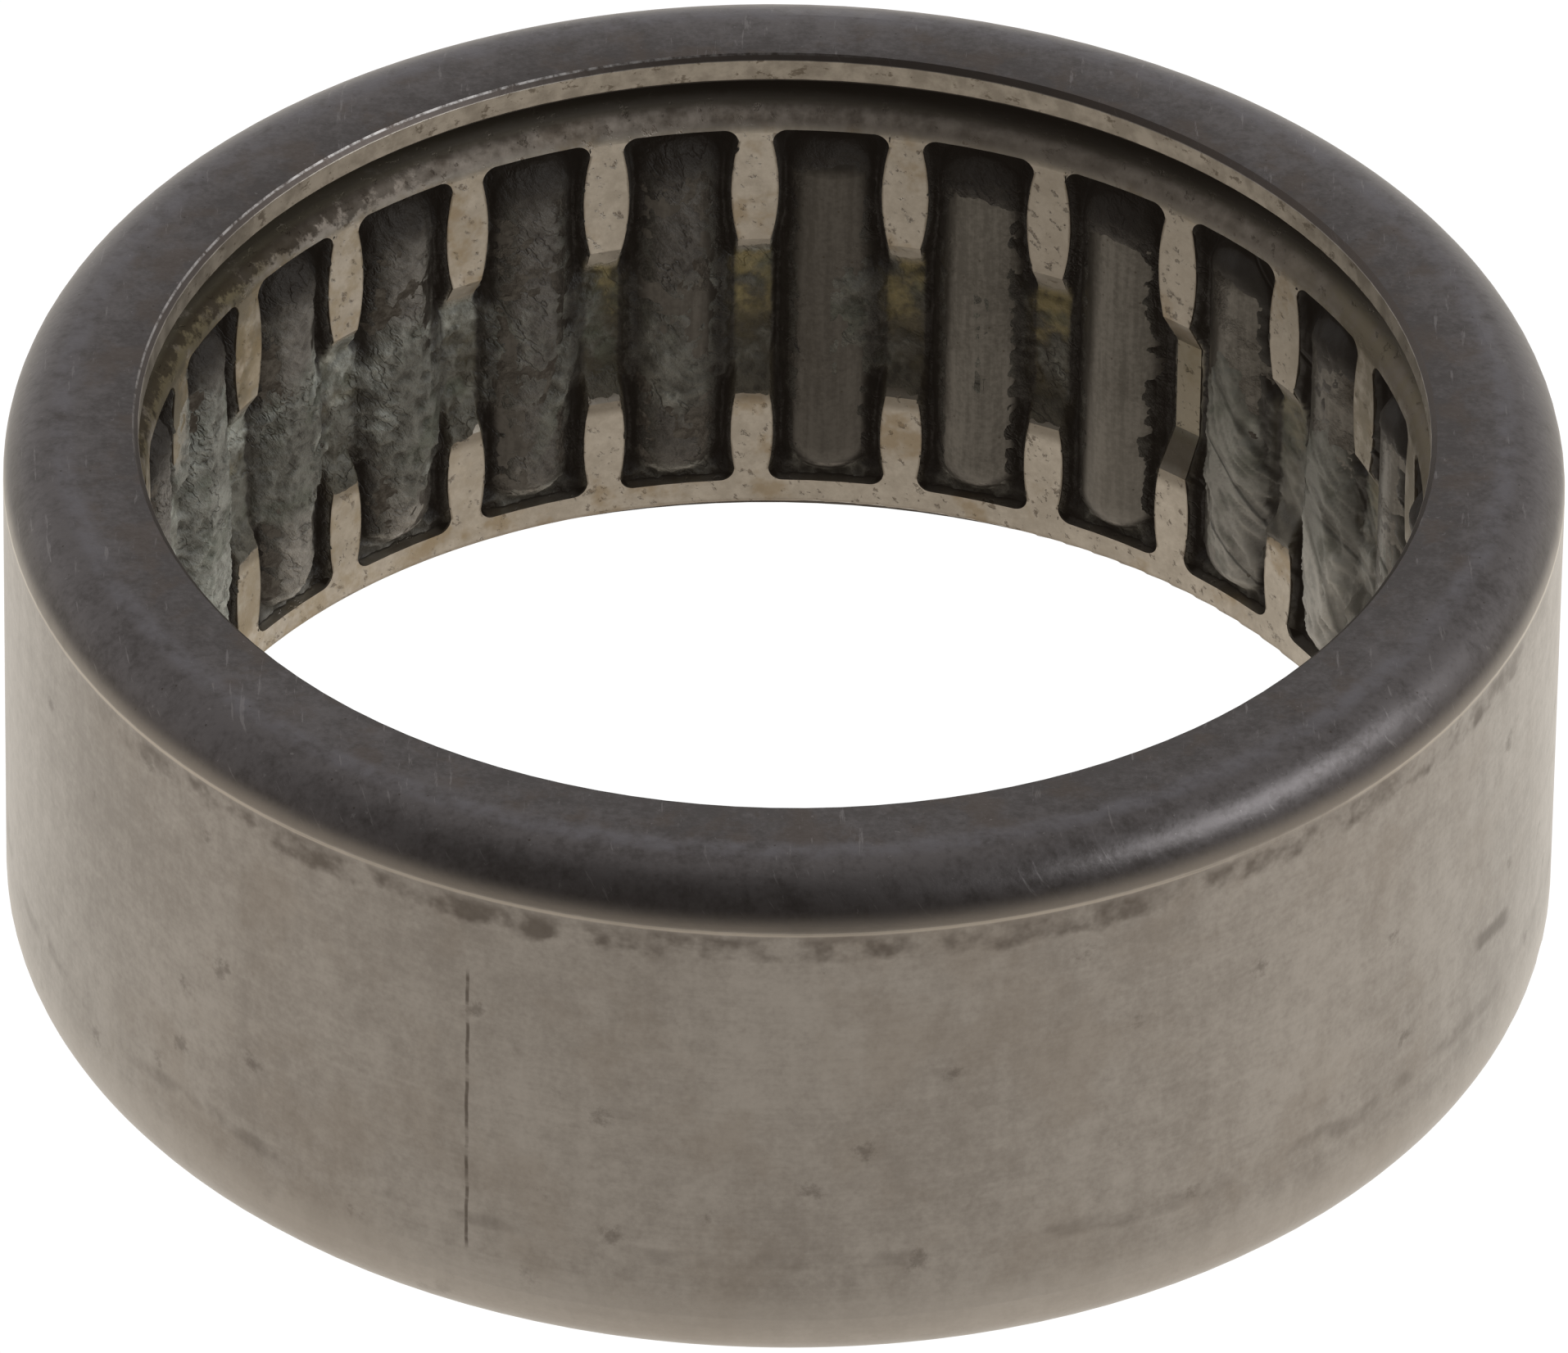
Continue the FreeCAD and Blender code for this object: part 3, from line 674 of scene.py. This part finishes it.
class Grease:
    """Thickness of the grease over rollers and bars, in millimetres.  Below 0 the steel is bare."""

    RING = 22.0              # distances around the ring are taken at this radius
    INNERMOST = 20.93        # no grease stands further into the bore
    LEAST = -0.10            # thickness where there is none
    PACKED = 0.10            # at most, beside the rollers and on the bars' middles
    THIN = 0.045             # at most, on a roller's crown
    WIPED = 0.12             # at most, in a wiped sheet
    CLEAN_BAR = 2            # this bar's middle is wiped clean
    # ovals: turn in degrees, height, half length, half breadth, lean to the right in degrees, strength
    SHEETS = (
        (-68.0, -1.2, 6.8, 4.2, 0, 1.3),
        (-46.0, -0.7, 3.6, 5.4, 0, 1.1),
        (-34.0, -1.9, 3.8, 2.3, 25, 0.95),
        (-20.3, -1.65, 4.0, 0.62, 20.7, 1.6),
        (7.8, -0.2, 2.3, 1.15, 0, 0.8),
        (-11.5, -2.4, 2.3, 1.2, -20, 0.7),
        (46.5, -2.7, 5.0, 2.0, -12, 1.4),
        (62.0, -2.8, 5.2, 3.2, -20, 1.5),
        (112.0, -1.0, 4.2, 5.6, 0, 1.0),
        (151.0, -2.0, 3.6, 3.4, 15, 1.0),
        (-152.0, -0.4, 4.4, 4.6, 0, 1.1),
        (-108.0, -1.4, 5.0, 5.0, 0, 1.1),
    )
    SHEET_REACH = 8.0        # no sheet reaches further than this to either side

    def __init__(self):
        chance = random.Random(11)
        # the clean field on each roller's crown: shift to the right, half width, upper and lower end
        self.fields = [(chance.uniform(-0.08, 0.12), chance.uniform(0.98, 1.22), chance.uniform(5.1, 5.9),
                        chance.uniform(-7.35, -7.15)) for _ in range(ROLLER_COUNT)]
        self.film = [chance.uniform(0.0, 0.45) for _ in range(ROLLER_COUNT)]
        self.level = [chance.uniform(-0.35, 0.35) for _ in range(ROLLER_COUNT)]

    def crown_film(self, number, around):
        """How much film lies on a roller's crown: most on the left, least between 0 and 35 degrees."""
        film = self.film[number] + 0.62 * share_of(around, math.radians(-4), math.radians(-14))
        film -= 0.35 * share_of(around, math.radians(-6), 0.0) * share_of(around, 0.70, 0.60)
        return film * share_of(abs(around), SEAM, math.radians(165))

    def packed(self, turn, height, wobble):
        """Beside a roller and at its ends: outside a rounded field on its crown."""
        number = int(round((turn - FIRST_TURN) / PITCH_TURN)) % ROLLER_COUNT
        shift, half, top, foot = self.fields[number]
        aside = PITCH_RADIUS * math.sin(off_roller(turn))
        corner = 0.9 * half
        over_side = abs(aside - shift) - half + corner
        over_end = max(height - top, foot - height) + corner
        outside = math.hypot(max(over_side, 0.0), max(over_end, 0.0)) - corner
        outside += min(max(over_side, over_end), 0.0)
        beside = clamp(0.22 * (outside + 0.30 * wobble), self.LEAST, self.PACKED)
        film = self.crown_film(number, wrapped(turn))
        return max(beside, clamp(0.09 * (film - 0.55 + 0.9 * wobble), self.LEAST, self.THIN))

    def middle(self, turn, height, wobble):
        """On the set-back middle of a bar and the slopes at its ends."""
        number = int((turn - FIRST_TURN) / PITCH_TURN % ROLLER_COUNT)
        if number == self.CLEAN_BAR:
            return self.LEAST
        in_height = (3.05 + 0.6 * self.level[number] - abs(height + 0.9)) / 0.9
        return self.PACKED * clamp(min(in_height, 1.0) + 0.30 * wobble, -1.0, 1.0)

    def sheet(self, turn, height, wobble):
        """Wiped over rollers and bars."""
        best = -1.0
        for degrees, middle, length, breadth, lean, strength in self.SHEETS:
            aside, up = self.RING * wrapped(turn - math.radians(degrees)), height - middle
            if abs(aside) > self.SHEET_REACH:
                continue
            lean = math.radians(lean)
            along = (aside * math.sin(lean) + up * math.cos(lean)) / length
            across = (aside * math.cos(lean) - up * math.sin(lean)) / breadth
            best = max(best, strength * 1.6 * (1.0 - math.hypot(along, across)))
        return self.WIPED * clamp(best + 0.8 * wobble, -1.0, 1.0)

    def at(self, turn, height):
        """Thickness, share of wiped or olive grease, fold, nearness to a pocket's side, radius."""
        around = wrapped(turn)
        place = Vector((math.sin(turn) * self.RING, math.cos(turn) * self.RING, height))
        wobble = 0.5 * noise.noise(place * 0.8) + 0.45 * noise.noise(place * 2.2)
        wobble += 0.2 * noise.noise(place * 5.5)
        packed = self.packed(turn, height, wobble)
        wiped = self.sheet(turn, height, wobble)
        inside = into_bar(turn, height)
        if inside > -0.15:
            # over a bar's edge it creeps a little way, and the lands are wiped clean except at the sides
            creep = 0.12 * noise.noise(place * 3.1) + 0.06 * noise.noise(place * 7.0)
            packed -= 0.22 * share_of(inside - max(creep, 0.0), -0.12, 0.08)
            on_land = max(share_of(height, -3.7, -4.5), share_of(height, 2.2, 2.8))
            wiped -= 0.20 * on_land * share_of(inside, -0.15, 0.05) * share_of(abs(around), 1.15, 1.0)
            wiped = max(wiped, self.middle(turn, height, wobble) - 0.02)
        elif -3.6 < height < 2.6:
            # beside the set-back middle it reaches into the pocket, least on a roller's left
            drop = 0.10 * share_of(inside, -0.3, -1.0)
            if off_roller(turn) < 0.0 and around > -0.12:
                drop = 0.22 * share_of(inside + 0.15 * wobble, -0.02, -0.40)
            wiped = max(wiped, self.middle(turn, height, wobble) - drop)
        thick = max(packed, wiped)
        fold = self.folds(around, height)
        filled = share_of(wiped, 0.0, self.WIPED)
        base = smooth_least(roller_face(turn, height), wall_face(turn, height, filled), 0.28 + 0.9 * filled)
        body = share_of(thick, -0.01, 0.06)
        calm = 1.0 - 0.6 * share_of(inside, -0.2, 0.3)
        relief = max((0.15 + 0.05 * filled) * body * calm * (fold - 0.45), -0.7 * max(thick, 0.0))
        gap = share_of(inside, -1.05, -0.45) * share_of(inside, 0.05, -0.05)
        radius = max(base - thick - relief, self.INNERMOST)
        return thick, share_of(wiped - packed, -0.05, 0.03), fold, gap, radius

    def folds(self, around, height):
        """Wrinkles that run down to the right, long and straight in the sheets on the right."""
        aside = around * self.RING
        along, across = 0.6 * aside - 0.8 * height, 0.8 * aside + 0.6 * height
        stretch = 0.80 - 0.50 * share_of(around, math.radians(35), math.radians(48))
        swirl = noise.noise(Vector((along * 0.3, across * 0.3, 7.0)))
        place = Vector((along * stretch, across * 1.25 + swirl, swirl * 0.8))
        at_seam = share_of(abs(around), SEAM, math.radians(179))
        return ridged(place * 1.5) * (1.0 - at_seam) + 0.45 * at_seam


def make_grease(columns=1400, rise=0.098, low=-7.50, high=7.04):
    """A skin over rollers and bars.  It sinks into the steel where that is bare, and is left out there."""
    grease = Grease()
    rows = int((high - low) / rise) + 1
    spots = [[grease.at(2 * math.pi * column / columns, low + rise * row) for column in range(columns)]
             for row in range(rows)]
    corners, faces, numbers = [], [], {}
    stored = {"thick": [], "smear": [], "fold": [], "gap": []}
    for row in range(rows - 1):
        for column in range(columns):
            after = (column + 1) % columns
            ring = ((row, column), (row + 1, column), (row + 1, after), (row, after))
            if max(spots[r][c][0] for r, c in ring) <= LEFT_OUT:
                continue
            for key in ring:
                if key not in numbers:
                    numbers[key] = len(corners)
                    thick, smear, fold, gap, radius = spots[key[0]][key[1]]
                    turn, height = 2 * math.pi * key[1] / columns, low + rise * key[0]
                    corners.append((radius * math.sin(turn) * MM, radius * math.cos(turn) * MM, height * MM))
                    stored["thick"].append(clamp(thick / Grease.PACKED, 0.0, 1.0))
                    stored["smear"].append(smear)
                    stored["fold"].append(fold)
                    stored["gap"].append(gap)
            faces.append([numbers[key] for key in ring])
    mesh = bpy.data.meshes.new("grease")
    mesh.from_pydata(corners, [], faces)
    for name, values in stored.items():
        mesh.attributes.new(name, "FLOAT", "POINT").data.foreach_set("value", values)
    mesh.shade_smooth()
    mesh.materials.append(grease_material())
    skin = bpy.data.objects.new("grease", mesh)
    bpy.context.collection.objects.link(skin)
    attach(skin, "cage")


# ---- floor, light and camera ----------------------------------------------------------------------
FLOOR_HALF = 1.2             # metres
FLOOR_GAP = 0.00002          # metres below the bearing
FLOOR_GLOW = 1.05
TABLE_FRONT, TABLE_BACK = (1.0, 0.90, 0.79), (1.0, 0.945, 0.865)
TENT = (1.0, 0.975, 0.97)
ELEVATION = math.radians(35.93)
DISTANCE = 30.85             # from the bearing's middle, in outside radii
LENS = 549.8
SHIFT = 0.0017, -0.0071
ROLL = math.radians(0.841)
VEIL = -0.0062, -0.0047, -0.0036


def make_floor():
    """A white floor that only the camera sees, so that it neither shades nor lights the steel."""
    height = -HALF_WIDTH * MM - FLOOR_GAP
    corners = [(-FLOOR_HALF, -FLOOR_HALF, height), (FLOOR_HALF, -FLOOR_HALF, height),
               (FLOOR_HALF, FLOOR_HALF, height), (-FLOOR_HALF, FLOOR_HALF, height)]
    mesh = bpy.data.meshes.new("floor")
    mesh.from_pydata(corners, [], [(0, 1, 2, 3)])
    floor = bpy.data.objects.new("floor", mesh)
    bpy.context.collection.objects.link(floor)
    material = bpy.data.materials.new("pale_floor")
    material.use_nodes = True
    shader = material.node_tree.nodes["Principled BSDF"]
    shader.inputs["Base Color"].default_value = (0.0, 0.0, 0.0, 1.0)
    shader.inputs["Roughness"].default_value = 1.0
    shader.inputs["Specular IOR Level"].default_value = 0.0
    shader.inputs["Emission Color"].default_value = (1.0, 1.0, 1.0, 1.0)
    shader.inputs["Emission Strength"].default_value = FLOOR_GLOW
    mesh.materials.append(material)
    floor.visible_glossy = False
    floor.visible_diffuse = False
    floor.visible_transmission = False
    floor.visible_shadow = False


def make_softbox(name, place, size, power, colour):
    """An area light that looks at the bearing."""
    data = bpy.data.lights.new(name, "AREA")
    data.shape = "RECTANGLE"
    data.size, data.size_y = size
    data.energy = power
    data.color = colour
    light = bpy.data.objects.new(name, data)
    light.location = place
    light.rotation_mode = "QUATERNION"
    light.rotation_quaternion = (-Vector(place)).to_track_quat("-Z", "Y")
    bpy.context.collection.objects.link(light)


def make_world():
    """Light tent: warm pale table below, dark towards the camera, bright at the back and the sides."""
    world = bpy.data.worlds.new("studio")
    bpy.context.scene.world = world
    world.use_nodes = True
    w = Nodes(world.node_tree)
    coordinates = w.node("ShaderNodeTexCoord")
    split = w.node("ShaderNodeSeparateXYZ")
    w.link(coordinates.outputs["Generated"], split.inputs[0])
    across, back, up = split.outputs

    table = w.plus(w.ramp(back, -0.8, 0.2, 0.67, 0.80), w.ramp(back, 0.2, 0.9, 0.0, 0.52),
                   w.ramp(across, -0.8, 0.8, -0.07, -0.02))
    shade = w.times(w.ramp(back, -0.95, -0.35, 0.65, 0.0), w.ramp(up, -0.55, -0.15, 0.0, 1.0))
    table = w.times(table, w.less(1.0, shade))
    far_wall = w.times(w.ramp(back, 0.35, 0.95, 0.0, 0.55), w.ramp(up, 0.55, 0.05, 0.0, 1.0))
    side_walls = w.times(w.ramp(w.size_of(across), 0.45, 0.95, 0.0, 0.30), w.ramp(up, 0.8, 0.2, 0.0, 1.0))
    tent = w.plus(w.ramp(back, -0.70, 0.35, 0.16, 0.90), far_wall, side_walls)

    above = w.ramp(up, -0.12, 0.12, 0.0, 1.0)
    strength = w.plus(w.times(table, w.less(1.0, above)), w.times(tent, above))
    table_tint = w.mix(w.ramp(back, 0.1, 0.6, 0.0, 1.0), TABLE_FRONT, TABLE_BACK)
    background = world.node_tree.nodes["Background"]
    w.link(w.mix(above, table_tint, TENT), background.inputs["Color"])
    w.link(strength, background.inputs["Strength"])


def make_camera():
    """Long lens from the front, looking down on the bearing."""
    data = bpy.data.cameras.new("camera")
    data.sensor_width = 36.0
    data.lens = LENS
    data.clip_start = 0.01
    data.clip_end = 10.0
    data.shift_x, data.shift_y = SHIFT
    camera = bpy.data.objects.new("camera", data)
    back = Vector((0.0, -math.cos(ELEVATION), math.sin(ELEVATION)))
    camera.location = back * (DISTANCE * OUTSIDE_RADIUS * MM)
    camera.rotation_mode = "QUATERNION"
    camera.rotation_quaternion = (-back).to_track_quat("-Z", "Y") @ Quaternion((0.0, 0.0, 1.0), ROLL)
    bpy.context.collection.objects.link(camera)
    bpy.context.scene.camera = camera


def develop():
    """Plain colours, with the faint veil that a bright background lays over the darkest parts."""
    view = bpy.context.scene.view_settings
    view.view_transform = "Standard"
    view.use_curve_mapping = True
    view.curve_mapping.black_level = VEIL
    view.curve_mapping.update()


# ---- the scene ------------------------------------------------------------------------------------
def paint(node, material):
    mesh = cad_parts[node].data
    mesh.materials.clear()
    mesh.materials.append(material)


paint("outer_cup", cup_material())
paint("cage", cage_material())
roller_steel = roller_material()
for number in range(ROLLER_COUNT):
    paint("roller_%02d" % (number + 1), roller_steel)
make_grease()

make_floor()
make_world()
make_softbox("right_softbox", (0.46, -0.14, 0.33), (0.42, 0.20), 1.5, (0.97, 0.98, 1.0))
make_camera()
develop()
